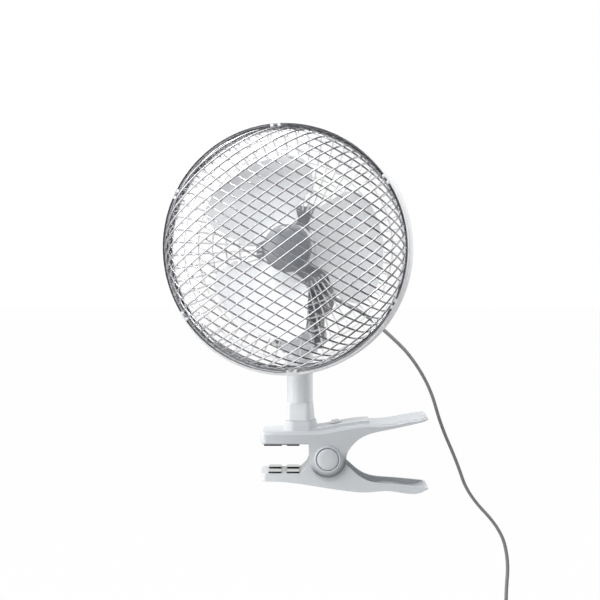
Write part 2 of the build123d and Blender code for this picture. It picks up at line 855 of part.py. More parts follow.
# ---- cord: out of a gland at the back of the housing, down past the clip to its put-away coil ----
gland_length = 20.0
gland_side = Plane(head.origin - head.y_dir * gland_drop, x_dir=turn, z_dir=(0, 0, -1))
gland_axis = Axis(gland_side.origin, head.z_dir)
with BuildPart() as cord_gland:
    with BuildSketch(gland_side):
        with BuildLine():
            Polyline(
                (0, inner_back),
                (4.0, inner_back),
                (4.0, housing_back),
                (6.0, housing_back),
                (6.0, housing_back - 2.0),
                (4.4, housing_back - 2.0),
                (4.4, housing_back - 2.0 - gland_length / 2),
                (3.4, housing_back - 2.0 - gland_length / 2),
                (3.4, housing_back - 2.0 - gland_length),
                (0, housing_back - 2.0 - gland_length),
                close=True,
            )
        make_face()
    revolve(axis=gland_axis)
write(cord_gland.part, "cord_gland")

coil_centre = (159.2, 8, -167)
coil = Plane(coil_centre, x_dir=(1, 0, 0), z_dir=(0, 1, 0))
coil_lead = 5.0
coil_top = (coil_centre[0] + coil_radius, coil_centre[1], coil_centre[2] + coil_lead)
gland_tip = head.origin - head.y_dir * gland_drop + head.z_dir * (housing_back - 2.0 - gland_length)
first_bend = gland_tip - head.z_dir * 26.0
cord_points = [
    gland_tip,
    first_bend,
    (54.0, 96.0, 107.0),
    (74.0, 80.0, 98.0),
    (95.5, 42.0, 80.5),
    (109.5, 18.0, 66.8),
    (124.5, 11.0, 42.0),
    (132.5, 9.0, 12.8),
    (145.5, 8.0, -16.6),
    (154.0, 8.0, -42.2),
    (180.5, 8.0, -70.0),
    (186.9, 8.0, -95.0),
    (185.0, 8.0, -121.0),
    (coil_top[0], 8.0, -145.0),
    coil_top,
]
corner_points = [Vector(*point) for point in cord_points]
bend_radii = []
for before, here, after in zip(corner_points, corner_points[1:], corner_points[2:]):
    bend = radians((here - before).get_angle(after - here))
    shorter = min((here - before).length, (after - here).length)
    bend_radii.append(0.45 * shorter / tan(bend / 2))
print("cord bend radii", [round(radius) for radius in bend_radii])

# The tube is one piece: the hanging run, flat loops in a tied coil, and a last half turn to the plug.
coil_half_turns = 2 * coil_turns - 1
plug_side = 38.0
with BuildPart() as cord:
    with BuildLine() as hanging_path:
        FilletPolyline(*corner_points, radius=bend_radii)
    with BuildLine(coil) as coil_path:
        Line((coil_radius, -coil_lead, 0), (coil_radius, 0, 0))
        half_turns(coil_radius, coil_pitch / 2, coil_half_turns)
        ending = ThreePointArc(
            (-coil_radius, 0, coil_half_turns * coil_pitch / 2),
            (0, -coil_radius, (coil_half_turns * coil_pitch / 2 + plug_side) / 2),
            (coil_radius, 0, plug_side),
        )
        Line(ending @ 1, (coil_radius, 8.0, plug_side))
    cord_path = Wire([*hanging_path.edges(), *coil_path.edges()])
    with BuildSketch(Plane(cord_path @ 0, x_dir=head.x_dir, z_dir=cord_path % 0)):
        Rectangle(cord_width, cord_thickness)
    sweep(path=cord_path)
write(cord.part, "cord")
coil_gap = least_gap(coil_path.wire(), hypot(cord_width, cord_thickness), 2 * pi * coil_radius)
print(f"cord least gap in the coil {coil_gap:.2f}")
print(f"cord length {cord_path.length:.0f}")
print(f"cord volume {cord.part.volume:.0f}, section by length {cord_width * cord_thickness * cord_path.length:.0f}")

tie_room = coil_turns * coil_pitch
with BuildPart() as coil_tie:
    with BuildSketch(coil.offset(-1.0)):
        with Locations((-coil_radius, 0)):
            Rectangle(7.6, 7.0)
    extrude(amount=tie_room + 2.0)
    with BuildSketch(coil):
        with Locations((-coil_radius, 0)):
            Rectangle(5.6, 7.0)
    extrude(amount=tie_room, mode=Mode.SUBTRACT)
write(coil_tie.part, "coil_tie")

plug_top = coil_centre[2] - 8.3
plug_length = 32.0
plug = Plane((coil_centre[0] + coil_radius, coil_centre[1] + plug_side, plug_top), z_dir=(0, 0, -1))
pin_spacing = 19.0
with BuildPart() as plug_body:
    with BuildSketch(Plane(plug.origin, x_dir=(1, 0, 0), z_dir=(0, -1, 0))):
        with BuildLine():
            Polyline(
                (-4.5, 0),
                (4.5, 0),
                (15.0, 8.0 - plug_length),
                (15.0, -plug_length),
                (-15.0, -plug_length),
                (-15.0, 8.0 - plug_length),
                close=True,
            )
        make_face()
    extrude(amount=5.5, both=True)
    chamfer(plug_body.edges().filter_by(Axis.X), length=2.0)
write(plug_body.part, "plug_body")

with BuildPart() as plug_pins:
    with BuildSketch(plug.offset(plug_length)):
        with GridLocations(pin_spacing, 0, 2, 1):
            Circle(2.0)
    extrude(amount=19.0)
write(plug_pins.part, "plug_pins")
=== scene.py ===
import json
from math import asin, copysign, cos, hypot, pi, radians, sin, sqrt, tan

import bpy
from mathutils import Matrix, Vector


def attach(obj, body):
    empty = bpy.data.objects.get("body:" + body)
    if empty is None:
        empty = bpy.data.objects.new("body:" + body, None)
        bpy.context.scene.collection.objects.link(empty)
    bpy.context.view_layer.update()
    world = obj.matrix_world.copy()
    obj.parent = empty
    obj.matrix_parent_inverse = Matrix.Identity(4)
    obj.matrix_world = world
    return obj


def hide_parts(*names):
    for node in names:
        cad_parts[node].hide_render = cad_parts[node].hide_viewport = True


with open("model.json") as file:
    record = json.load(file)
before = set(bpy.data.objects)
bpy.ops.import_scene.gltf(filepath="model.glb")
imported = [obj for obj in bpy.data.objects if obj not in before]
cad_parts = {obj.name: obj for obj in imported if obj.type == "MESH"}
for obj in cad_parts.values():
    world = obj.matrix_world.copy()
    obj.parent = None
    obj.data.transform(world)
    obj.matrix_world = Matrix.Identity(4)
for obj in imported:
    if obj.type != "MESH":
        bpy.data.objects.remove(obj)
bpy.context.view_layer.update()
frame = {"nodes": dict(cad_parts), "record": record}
scene = bpy.context.scene
mm = 0.001

# ---- where the parts sit: the post's line, the head's middle and the clip's axle ----
layout = {
    "postX": 21.0,
    "swivel": radians(10.7),
    "headReach": 56.0,
    "headHeight": 153.8,
    "guardRoll": radians(3.8),
    "axle": (42.4, 0.0, -9.9),
}
sideways = Vector((cos(layout["swivel"]), -sin(layout["swivel"]), 0))
forward = Vector((-sin(layout["swivel"]), -cos(layout["swivel"]), 0))
upward = Vector((0, 0, 1))
postLine = Vector((layout["postX"], 0, 0)) * mm
headMiddle = postLine + forward * layout["headReach"] * mm + upward * layout["headHeight"] * mm
axleMiddle = Vector(layout["axle"]) * mm


def axes(origin, x, y, z):
    matrix = Matrix((x, y, z)).transposed().to_4x4()
    matrix.translation = origin
    return matrix


headAxes = axes(headMiddle, sideways, upward, forward)  # z blows forward, y is up
guardAxes = headAxes @ Matrix.Rotation(layout["guardRoll"], 4, "Z")
axleAxes = axes(axleMiddle, Vector((1, 0, 0)), upward, Vector((0, -1, 0)))  # z is the axle


# ---- shader maths: a socket that can be added, multiplied and mixed ----
class Field:
    def __init__(self, nodes, socket):
        self.nodes = nodes
        self.socket = socket

    def math(self, operation, *others, clamp=False):
        settings = {"operation": operation, "use_clamp": clamp}
        return self.nodes.node("ShaderNodeMath", settings, dict(enumerate((self, *others))))

    def __add__(self, other):
        return self.math("ADD", other)

    def __sub__(self, other):
        return self.math("SUBTRACT", other)

    def __rsub__(self, other):
        return self.nodes.node("ShaderNodeMath", {"operation": "SUBTRACT"}, {0: other, 1: self})

    def __mul__(self, other):
        return self.math("MULTIPLY", other)

    def __pow__(self, other):
        return self.math("POWER", other)

    __radd__ = __add__
    __rmul__ = __mul__

    def ramp(self, low, high):
        inputs = {"Value": self, "From Min": low, "From Max": high}
        return self.nodes.node("ShaderNodeMapRange", {"clamp": True}, inputs)

    def beside(self, name):  # another output of the same node
        return Field(self.nodes, self.socket.node.outputs[name])


class NodeTree:
    def __init__(self, tree):
        self.tree = tree

    def node(self, kind, settings=None, inputs=None, out=0):
        made = self.tree.nodes.new(kind)
        for key, value in (settings or {}).items():
            setattr(made, key, value)
        for key, value in (inputs or {}).items():
            self.feed(made.inputs[key], value)
        return Field(self, made.outputs[out])

    def feed(self, socket, value):
        if isinstance(value, Field):
            self.tree.links.new(value.socket, socket)
        elif hasattr(value, "__len__") and socket.type == "RGBA":
            socket.default_value = (*value[:3], 1)
        else:
            socket.default_value = value

    def mix(self, share, first, second):
        inputs = {0: share, 6: first, 7: second}  # the factor and the two colour sockets
        return self.node("ShaderNodeMix", {"data_type": "RGBA"}, inputs, out=2)


class Finish(NodeTree):
    def __init__(self, name):
        self.material = bpy.data.materials.new(name)
        self.material.use_nodes = True
        super().__init__(self.material.node_tree)
        self.shader = self.tree.nodes["Principled BSDF"]
        self.place = self.node("ShaderNodeTexCoord", out="Object")

    def set(self, **inputs):
        for key, value in inputs.items():
            self.feed(self.shader.inputs[key.replace("_", " ")], value)

    def colour(self):  # what feeds the base colour so far
        return Field(self, self.shader.inputs["Base Color"].links[0].from_socket)

    def noise(self, scale, detail, rough=0.5, stretch=None):
        spot = self.place
        if stretch:
            spot = self.node("ShaderNodeMapping", None, {"Vector": spot, "Scale": stretch})
        inputs = {"Vector": spot, "Scale": scale, "Detail": detail, "Roughness": rough}
        return self.node("ShaderNodeTexNoise", None, inputs)

    def wave(self, direction, scale, spot):
        inputs = {"Vector": spot, "Scale": scale}
        return self.node("ShaderNodeTexWave", {"bands_direction": direction}, inputs, out="Fac")

    def vector(self, operation, first, second=None, out=0):
        inputs = {0: first} if second is None else {0: first, 1: second}
        return self.node("ShaderNodeVectorMath", {"operation": operation}, inputs, out)

    def radius(self, offset, along):  # how far an offset is from an axis
        reach = self.vector("LENGTH", offset, out="Value")
        return (reach * reach - along * along) ** 0.5

    def bump(self, height, distance):
        inputs = {"Strength": 1.0, "Distance": distance, "Height": height}
        self.set(Normal=self.node("ShaderNodeBump", None, inputs))


def dimmed(colour, share):
    return tuple(part * share for part in colour)


# Moulded plastic: soft mottling, a fine spark-eroded grain and faint handling marks.
plasticLook = {
    "cloudScale": 28,
    "mottle": 0.96,
    "rubScale": 60,
    "rubRange": (0.58, 0.75),
    "rubShare": 0.12,
    "rubTint": 0.93,
    "cloudRough": 0.08,
    "rubRough": 0.06,
    "cloudHeight": 0.2,
}


def moulded(name, colour, rough, grain=0.00002, coat=0.0, grainScale=900):
    look = plasticLook
    made = Finish(name)
    cloud = made.noise(look["cloudScale"], 3)
    fine = made.noise(grainScale, 4, 0.6)
    rub = made.noise(look["rubScale"], 5, 0.65, stretch=(1, 6, 1)).ramp(*look["rubRange"])
    base = made.mix(cloud, dimmed(colour, look["mottle"]), colour)
    base = made.mix(rub * look["rubShare"], base, dimmed(colour, look["rubTint"]))
    worn = rough + (cloud - 0.5) * look["cloudRough"] + rub * look["rubRough"]
    made.set(Base_Color=base, Roughness=worn, Coat_Weight=coat)
    made.bump(fine + cloud * look["cloudHeight"], grain)
    return made


# The ring's plastic, with painted shade on the front part of its bore: a near-black band where
# the bore's wall lies in shadow; sizes in metres.
boreShadeLook = {"bore": 0.0926, "back": 0.0055, "fade": 0.0002, "colour": (0.02, 0.02, 0.022)}


def boreShaded(name, colour, rough):
    look = boreShadeLook
    made = moulded(name, colour, rough)
    offset = made.vector("SUBTRACT", made.place, tuple(headMiddle))
    height = made.vector("DOT_PRODUCT", offset, tuple(forward), out="Value")
    radius = made.radius(offset, height)
    # painted shade: the base colour turns near-black on the bore's wall in front of its back edge
    inside = (look["bore"] + look["fade"] - radius).ramp(0, look["fade"])
    inside = inside * (height - look["back"]).ramp(0, look["fade"])
    made.set(Base_Color=made.mix(inside, made.colour(), look["colour"]))
    return made


# The clip's plastic, shaded on the lower part of its cheeks, round the axle's caps, in metres.
shadeLook = {
    "near": 0.0106,
    "far": 0.0132,
    "down": (0.35, 0, -1),
    "downRange": (-0.001, 0.007),
    "dark": 0.3,
}


def shaded(name, colour, rough, grain):
    look = shadeLook
    made = moulded(name, colour, rough, grain)
    offset = made.vector("SUBTRACT", made.place, tuple(axleMiddle))
    across = made.vector("DOT_PRODUCT", offset, (0, 1, 0), out="Value")
    below = made.vector("DOT_PRODUCT", offset, look["down"], out="Value")
    radius = made.radius(offset, across)
    crescent = (radius - look["near"]).ramp(0, look["far"] - look["near"])
    crescent = crescent * below.ramp(*look["downRange"])
    made.set(Base_Color=made.mix(crescent, made.colour(), dimmed(colour, look["dark"])))
    return made


# Drawn wire with bright plating: faint clouds and a few dull spots.
platedLook = {
    "cloudScale": 120,
    "cloudRough": 0.1,
    "spotScale": 340,
    "spotRange": (0.6, 0.72),
    "spotShare": 0.25,
    "spotTint": 0.55,
    "spotRough": 0.2,
    "grain": 0.00001,
}


def plated(name, colour, rough):
    look = platedLook
    made = Finish(name)
    cloud = made.noise(look["cloudScale"], 4)
    dull = made.noise(look["spotScale"], 5, 0.7).ramp(*look["spotRange"])
    base = made.mix(dull * look["spotShare"], colour, dimmed(colour, look["spotTint"]))
    worn = rough + cloud * look["cloudRough"] + dull * look["spotRough"]
    made.set(Base_Color=base, Metallic=1.0, Roughness=worn)
    made.bump(cloud, look["grain"])
    return made


# Rubber: a fine grain with some dust on it.
rubberLook = {
    "grainScale": 1500,
    "grain": 0.00005,
    "dustScale": 90,
    "dustRange": (0.5, 0.8),
    "dustShare": 0.2,
    "dustTint": 2.2,
    "dustRough": 0.15,
}


def rubbery(name, colour, rough=0.72, coat=0.0):
    look = rubberLook
    made = Finish(name)
    fine = made.noise(look["grainScale"], 4, 0.7)
    dust = made.noise(look["dustScale"], 5, 0.7).ramp(*look["dustRange"])
    base = made.mix(dust * look["dustShare"], colour, dimmed(colour, look["dustTint"]))
    made.set(Base_Color=base, Roughness=rough + dust * look["dustRough"], Coat_Weight=coat)
    made.bump(fine, look["grain"])
    return made


# Turned or stamped metal, with marks drawn out along one direction.
metalLook = {
    "markScale": 260,
    "stretch": (1, 1, 18),
    "markRough": 0.2,
    "markDepth": 0.00001,
    "stainScale": 45,
    "stainRange": (0.5, 0.85),
    "stainShare": 0.35,
    "stainTint": 0.7,
    "stainRough": 0.1,
}


def machined(name, colour, rough=0.3):
    look = metalLook
    made = Finish(name)
    marks = made.noise(look["markScale"], 3, 0.6, stretch=look["stretch"])
    stain = made.noise(look["stainScale"], 4).ramp(*look["stainRange"])
    base = made.mix(stain * look["stainShare"], colour, dimmed(colour, look["stainTint"]))
    worn = rough + (marks - 0.5) * look["markRough"] + stain * look["stainRough"]
    made.set(Base_Color=base, Metallic=1.0, Roughness=worn)
    made.bump(marks, look["markDepth"])
    return made


# Stacked sheets: dark joints along the motor's axis, with a little rust.
sheetLook = {
    "jointScale": 320.0,
    "jointTint": 0.45,
    "jointDepth": 0.00008,
    "rust": (0.16, 0.08, 0.04),
    "rustScale": 150,
    "rustRange": (0.55, 0.8),
    "rustShare": 0.5,
    "rustRough": 0.3,
    "rough": 0.45,
    "metal": 0.8,
}


def laminated(name, colour):
    look = sheetLook
    made = Finish(name)
    turn = {"Vector": made.place, "Rotation": (0, 0, -layout["swivel"])}
    sheets = made.wave("Y", look["jointScale"], made.node("ShaderNodeMapping", None, turn))
    rust = made.noise(look["rustScale"], 4).ramp(*look["rustRange"])
    base = made.mix(sheets, dimmed(colour, look["jointTint"]), colour)
    base = made.mix(rust * look["rustShare"], base, look["rust"])
    worn = look["rough"] + rust * look["rustRough"]
    made.set(Base_Color=base, Metallic=look["metal"], Roughness=worn)
    made.bump(sheets, look["jointDepth"])
    return made


# Wound copper: strands side by side under lacquer.
windingLook = {
    "strandScale": 420.0,
    "strandTint": 0.35,
    "strandDepth": 0.0001,
    "lacquerScale": 200,
    "lacquerRough": 0.2,
    "lacquerHeight": 0.3,
    "rough": 0.28,
    "metal": 0.7,
}


def wound(name, colour):
    look = windingLook
    made = Finish(name)
    strands = made.wave("Z", look["strandScale"], made.place)
    lacquer = made.noise(look["lacquerScale"], 4)
    base = made.mix(strands, dimmed(colour, look["strandTint"]), colour)
    worn = look["rough"] + lacquer * look["lacquerRough"]
    made.set(Base_Color=base, Metallic=look["metal"], Roughness=worn)
    made.bump(strands + lacquer * look["lacquerHeight"], look["strandDepth"])
    return made


clipGrey = (0.66, 0.685, 0.71)
guardWhite = (0.86, 0.87, 0.88)
finishes = {
    "clip_plastic": moulded("clipPlastic", clipGrey, 0.4, grain=0.000004),
    "clipShaded": shaded("clipShaded", clipGrey, 0.4, grain=0.000004),
    "housing_plastic": moulded("housingPlastic", (0.18, 0.184, 0.192), 0.4, grain=0.000008),
    "neck_plastic": moulded("neckPlastic", (0.74, 0.76, 0.78), 0.36, grain=0.000006),
    "guard_plastic": moulded("guardPlastic", guardWhite, 0.36),
    # the ring's plastic with painted shade in the front of its bore
    "guardBoreShade": boreShaded("guardBoreShade", guardWhite, 0.36),
    "blade_plastic": moulded("bladePlastic", (0.90, 0.91, 0.93), 0.28, coat=0.2),
    "cap_gloss": moulded("capGloss", (0.26, 0.275, 0.295), 0.16, grain=0.000005, coat=0.6),
    "knob_plastic": moulded("knobPlastic", (0.82, 0.82, 0.83), 0.3),
    "cord_vinyl": moulded(
        "cordVinyl", (0.21, 0.215, 0.225), 0.55, grain=0.000003, grainScale=1400
    ),
    "guard_wire": plated("guardWire", (0.56, 0.56, 0.58), 0.14),
    "hoopWire": plated("hoopWire", (0.46, 0.46, 0.48), 0.2),
    "rear_wire": moulded("rearWire", (0.95, 0.95, 0.96), 0.3),
    "pad_rubber": rubbery("padRubber", (0.018, 0.018, 0.02)),
    "padGloss": rubbery("padGloss", (0.02, 0.02, 0.022), 0.2, coat=1.0),
    "steel": machined("steel", (0.55, 0.55, 0.57)),
    "spring_steel": machined("springSteel", (0.36, 0.36, 0.38), 0.35),
    "bush_bronze": machined("bushBronze", (0.55, 0.38, 0.18), 0.45),
    "plug_brass": machined("plugBrass", (0.72, 0.58, 0.32), 0.25),
    "lamination": laminated("lamination", (0.32, 0.32, 0.34)),
    "copper_winding": wound("copperWinding", (0.60, 0.27, 0.12)),
    "tie_black": moulded("tieBlack", (0.03, 0.03, 0.03), 0.5),
    "switch_black": moulded("switchBlack", (0.035, 0.035, 0.038), 0.45),
}
slotOf = {row["node"]: row["material_slot"] for row in frame["record"]["subparts"]}
bodies = frame["record"]["behaviour"]["bodies"]
bodyOf = {node: body for body, nodes in bodies.items() for node in nodes}
print("finishes ready", len(finishes))


# ---- small modelling helpers ----
def pick(obj=None):
    if bpy.context.object and bpy.context.object.mode != "OBJECT":
        bpy.ops.object.mode_set(mode="OBJECT")
    bpy.ops.object.select_all(action="DESELECT")
    if obj:
        obj.select_set(True)
        bpy.context.view_layer.objects.active = obj


def editAll(obj):
    pick(obj)
    bpy.ops.object.mode_set(mode="EDIT")
    bpy.ops.mesh.select_all(action="SELECT")


def dress(obj, slot):
    obj.data.materials.clear()
    obj.data.materials.append(finishes[slot].material)


# A finished piece: its place goes into its mesh, then it rides on the body of its CAD node.
def settle(obj, name, node, place=None, angle=35, finish=None):
    obj.name = name
    if place is not None:
        obj.matrix_world = place @ obj.matrix_world
    pick(obj)
    bpy.ops.object.transform_apply(location=True, rotation=True, scale=True)
    bpy.ops.object.shade_smooth_by_angle(angle=radians(angle))
    dress(obj, finish or slotOf[node])
    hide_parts(node)
    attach(obj, bodyOf[node])
    pick()
    return obj


def modify(obj, kind, **settings):
    pick(obj)
    added = obj.modifiers.new(kind.title(), kind)
    for key, value in settings.items():
        setattr(added, key, value)
    bpy.ops.object.modifier_apply(modifier=added.name)


# A copy of a CAD node, merged, with its sharp edges rounded.
def softened(node, name, edge, segments=3, angle=35, finish=None, flat=1.2):
    made = frame["nodes"][node].copy()
    made.data = made.data.copy()
    for key in list(made.keys()):
        del made[key]
    made.parent = None
    scene.collection.objects.link(made)
    editAll(made)
    if made.data.has_custom_normals:
        bpy.ops.mesh.customdata_custom_splitnormals_clear()
    bpy.ops.mesh.remove_doubles(threshold=0.000005)
    bpy.ops.mesh.dissolve_limited(angle_limit=radians(flat))
    bpy.ops.object.mode_set(mode="OBJECT")
    modify(
        made, "BEVEL", width=edge * mm, segments=segments, limit_method="ANGLE",
        angle_limit=radians(angle), use_clamp_overlap=True, harden_normals=False,
    )
    settle(made, name, node, finish=finish)
    modify(made, "WEIGHTED_NORMAL", keep_sharp=True, weight=60)
    pick()
    return made


# A turned form: a half section in millimetres, as (radius, height), spun about z.
def turned(profile, steps, closed=False):
    pick()
    bpy.ops.mesh.primitive_plane_add(size=1 * mm)
    obj = bpy.context.object
    editAll(obj)
    bpy.ops.mesh.merge(type="CENTER")
    bpy.ops.transform.translate(value=(profile[0][0] * mm, 0, profile[0][1] * mm))
    last = profile[0]
    for point in [*profile[1:], *([profile[0]] if closed else [])]:
        step = ((point[0] - last[0]) * mm, 0, (point[1] - last[1]) * mm)
        bpy.ops.mesh.extrude_region_move(TRANSFORM_OT_translate={"value": step})
        last = point
    bpy.ops.mesh.select_all(action="SELECT")
    bpy.ops.mesh.spin(steps=steps, angle=2 * pi, center=(0, 0, 0), axis=(0, 0, 1))
    bpy.ops.mesh.select_all(action="SELECT")
    bpy.ops.mesh.remove_doubles(threshold=0.000004)
    bpy.ops.mesh.normals_make_consistent(inside=False)
    bpy.ops.object.mode_set(mode="OBJECT")
    return obj


# Wires: one curve with a spline for each run of points, made a mesh.
def wires(runs, thickness, cyclic=False, sides=2):
    data = bpy.data.curves.new("wires", "CURVE")
    data.dimensions = "3D"
    data.bevel_depth = thickness / 2 * mm
    data.bevel_resolution = sides
    data.resolution_u = 3
    data.use_fill_caps = True
    for run in runs:
        spline = data.splines.new("NURBS")
        spline.points.add(len(run) - 1)
        for point, place in zip(spline.points, run):
            point.co = (*(Vector(place) * mm), 1)
        spline.order_u = 3
        spline.use_endpoint_u = not cyclic
        spline.use_cyclic_u = cyclic
    obj = bpy.data.objects.new("wires", data)
    scene.collection.objects.link(obj)
    pick(obj)
    bpy.ops.object.convert(target="MESH")
    return bpy.context.object


# ---- camera ----
cameraView = {
    "place": (0.021, -1.240, 0.172),
    "down": radians(2.75),
    "lens": 95.0,
    "sensor": 36.0,
    "reach": 50,
}
aimed = (pi / 2 - cameraView["down"], 0, 0)
bpy.ops.object.camera_add(location=cameraView["place"], rotation=aimed)
camera = bpy.context.object
camera.data.lens = cameraView["lens"]
camera.data.sensor_width = cameraView["sensor"]
camera.data.clip_end = cameraView["reach"]
scene.camera = camera

# ---- cord: the gland's tip, the hanging run beside the clip, the tied coil with its plug ----
cordForm = {
    "width": 4.4,
    "thickness": 2.6,
    "coreSteps": 5,
    "coreTurn": radians(24.5),
    "coilMiddle": (159.2, 8.0, -167.0),
    "coilRadius": 26.0,
    "turns": 4.5,
    "pitch": 5.8,
    "pointsPerTurn": 16,
    "plugSide": 38.0,
    "plugLead": 1.0,
    "plugDrop": 8.0,
}
glandForm = {
    "drop": 38.0,
    "reach": 121.0,
    "firstBend": 26.0,
    "collar": [
        (0, -97.0), (5.9, -97.0), (6.0, -99.2), (6.0, -100.4), (5.4, -101.0), (4.4, -101.0),
    ],
    "ribs": 6,
    "firstRib": -101.6,
    "ribPitch": 3.1,
    "ribTaper": 0.25,
    "rib": ((4.4, 0), (4.4, 1.7), (3.7, 1.9), (3.7, 2.9)),
    "tip": [(2.6, -120.6), (2.3, -121.0), (0, -121.0)],
}
glandTip = headMiddle - upward * glandForm["drop"] * mm - forward * glandForm["reach"] * mm
firstBend = glandTip - forward * glandForm["firstBend"] * mm
cordRoute = [
    (0.054, 0.096, 0.107),
    (0.074, 0.080, 0.098),
    (0.0955, 0.042, 0.0805),
    (0.1095, 0.018, 0.0668),
    (0.1245, 0.011, 0.042),
    (0.1325, 0.009, 0.0128),
    (0.1455, 0.008, -0.0166),
    (0.154, 0.008, -0.0422),
    (0.1805, 0.008, -0.070),
    (0.1869, 0.008, -0.095),
    (0.185, 0.008, -0.121),
    (0.1852, 0.008, -0.145),
    (0.1852, 0.008, -0.162),
]


def coilPoints(form):
    middle = Vector(form["coilMiddle"])
    perTurn = form["pointsPerTurn"]
    radius = form["coilRadius"] * 2 / (1 + cos(pi / perTurn))
    places = []
    count = round(form["turns"] * perTurn)
    for step in range(1, count + 1):
        turn = 2 * pi * step / perTurn
        side = form["pitch"] * step / perTurn
        places.append(middle + Vector((radius * cos(turn), side, -radius * sin(turn))))
    lastSide = form["pitch"] * form["turns"]
    half = perTurn // 2
    for step in range(1, half + 1):  # the last half turn leads out to the plug
        turn = pi + pi * step / half
        side = lastSide + (form["plugSide"] - lastSide) * (1 - cos(pi * step / half)) / 2
        places.append(middle + Vector((radius * cos(turn), side, -radius * sin(turn))))
    for drop in (form["plugLead"], form["plugDrop"]):
        places.append(middle + Vector((form["coilRadius"], form["plugSide"], -drop)))
    del places[-3]  # the lead takes the place of the last point of the turn
    return [place * mm for place in places]


cordCurve = bpy.data.curves.new("cordLine", "CURVE")
cordCurve.dimensions = "3D"
cordSpline = cordCurve.splines.new("NURBS")
cordPoints = [glandTip, firstBend, *[Vector(place) for place in cordRoute], *coilPoints(cordForm)]
cordSpline.points.add(len(cordPoints) - 1)
for point, place in zip(cordSpline.points, cordPoints):
    point.co = (*place, 1)
cordSpline.order_u = 3
cordSpline.use_endpoint_u = True
cordCurve.resolution_u = 8
cordCurve.twist_mode = "MINIMUM"
cordLine = bpy.data.objects.new("cordLine", cordCurve)
scene.collection.objects.link(cordLine)
bare = bpy.data.meshes.new_from_object(cordLine)
cordPath = [vertex.co.copy() for vertex in bare.vertices]
cordLength = sum((b - a).length for a, b in zip(cordPath, cordPath[1:]))
print("cord length", round(cordLength, 3))


# Two round cores side by side with a web between them.
def flatSection(form):
    coreRadius = form["thickness"] / 2
    halfWide = (form["width"] - form["thickness"]) / 2
    outline = []
    for side in (1, -1):
        for step in range(-form["coreSteps"], form["coreSteps"] + 1):
            turn = step * form["coreTurn"]
            across = side * (halfWide + coreRadius * cos(turn))
            outline.append((across, side * coreRadius * sin(turn)))
    return outline


bpy.ops.curve.primitive_bezier_circle_add(radius=1)
section = bpy.context.object
section.data.splines.clear()
sectionSpline = section.data.splines.new("POLY")
sectionPoints = flatSection(cordForm)
sectionSpline.points.add(len(sectionPoints) - 1)
for point, (x, y) in zip(sectionSpline.points, sectionPoints):
    point.co = (x * mm, y * mm, 0, 1)
sectionSpline.use_cyclic_u = True
section.data.dimensions = "2D"
cordCurve.bevel_mode = "OBJECT"
cordCurve.bevel_object = section
cordCurve.use_fill_caps = True
pick(cordLine)
bpy.ops.object.convert(target="MESH")
cordPiece = settle(bpy.context.object, "flexCord", "cord", angle=50)
bpy.data.objects.remove(section)

glandRibs = [
    (
        radius - glandForm["ribTaper"] * row,
        glandForm["firstRib"] - glandForm["ribPitch"] * row - drop,
    )
    for row in range(glandForm["ribs"])
    for radius, drop in glandForm["rib"]
]
gland = turned([*glandForm["collar"], *glandRibs, *glandForm["tip"]], steps=48)
glandPlace = headAxes @ Matrix.Translation((0, -glandForm["drop"] * mm, 0))
settle(gland, "cordGland", "cord_gland", place=glandPlace)
coilTie = softened("coil_tie", "coilTie", edge=0.6)
plugShell = softened("plug_body", "plugShell", edge=1.6, segments=4)
plugPins = softened("plug_pins", "plugPins", edge=0.7)
print("cord laid")

# ---- guard ring, with six hooks of three blocks each ----
ringForm = {
    "profile": [
        (92.6, -2.0), (92.6, 9.2), (92.8, 9.8), (93.2, 10.0), (93.9, 9.9), (94.5, 9.3),
        (94.75, 8.4), (94.8, 7.4), (94.8, -7.2), (94.4, -8.0), (93.2, -8.0), (92.6, -7.4),
        (92.6, -4.0), (88.7, -4.0), (88.4, -3.7), (88.4, -2.3), (88.7, -2.0),
    ],
    "steps": 160,
}
hookForm = {
    "count": 6,
    "first": 30,
    "height": 7.0,
    "post": {"size": (2.6, 2.5, 5.2), "radius": 91.9},
    "bridge": {"size": (0.9, 4.0, 5.2), "radius": 92.7},
    "spread": 2.75,
    "edge": 0.4,
}
ring = turned(ringForm["profile"], steps=ringForm["steps"], closed=True)
hooks = []
for number in range(hookForm["count"]):
    for side in (-1, 0, 1):
        block = hookForm["post"] if side else hookForm["bridge"]
        pick()
        bpy.ops.mesh.primitive_cube_add(size=1)
        hook = bpy.context.object
        hook.scale = Vector(block["size"]) * mm
        hook.location = (
            block["radius"] * mm, side * hookForm["spread"] * mm, hookForm["height"] * mm
        )
        bpy.ops.object.transform_apply(location=True, rotation=True, scale=True)
        modify(hook, "BEVEL", width=hookForm["edge"] * mm, segments=2)
        turn = radians(hookForm["first"] + 360 / hookForm["count"] * number)
        hook.matrix_world = Matrix.Rotation(turn, 4, "Z")
        hooks.append(hook)
settle(ring, "guardRing", "guard_ring", place=guardAxes, finish="guardBoreShade")
pick(hooks[0])
for hook in hooks[1:]:
    hook.select_set(True)
bpy.ops.object.join()
settle(hooks[0], "guardHooks", "guard_ring", place=guardAxes)
print("ring and hooks turned")

# ---- front mesh: wires of the bowed dome, each in a plane through one far line ----
meshForm = {
    "radius": 89.0,
    "depth": 39.5,
    "square": 3.2,
    "hinge": 152.0,
    "pitch": 7.46,
    "half": radians(32.6),
    "wire": 1.25,
    "points": 34,
    "wiresEachSide": 14,
    "lastWire": 0.97,
    "layers": {"outer": {"grow": 1.0, "phase": 0.0}, "inner": {"grow": -0.4, "phase": 0.43}},
}
hoopForm = {
    "profile": [
        (88.6, -1.4), (89.0, -0.8), (89.8, -0.52), (91.4, -0.52), (92.1, -0.8),
        (92.28, -1.3), (91.8, -1.9), (89.2, -1.9),
    ],
    "steps": 128,
}


def domeHeight(form, radius, grow):
    rim = form["radius"] + grow
    fall = (1 - min(radius / rim, 1.0) ** form["square"]) ** (1 / form["square"])
    return (form["depth"] + grow) * fall


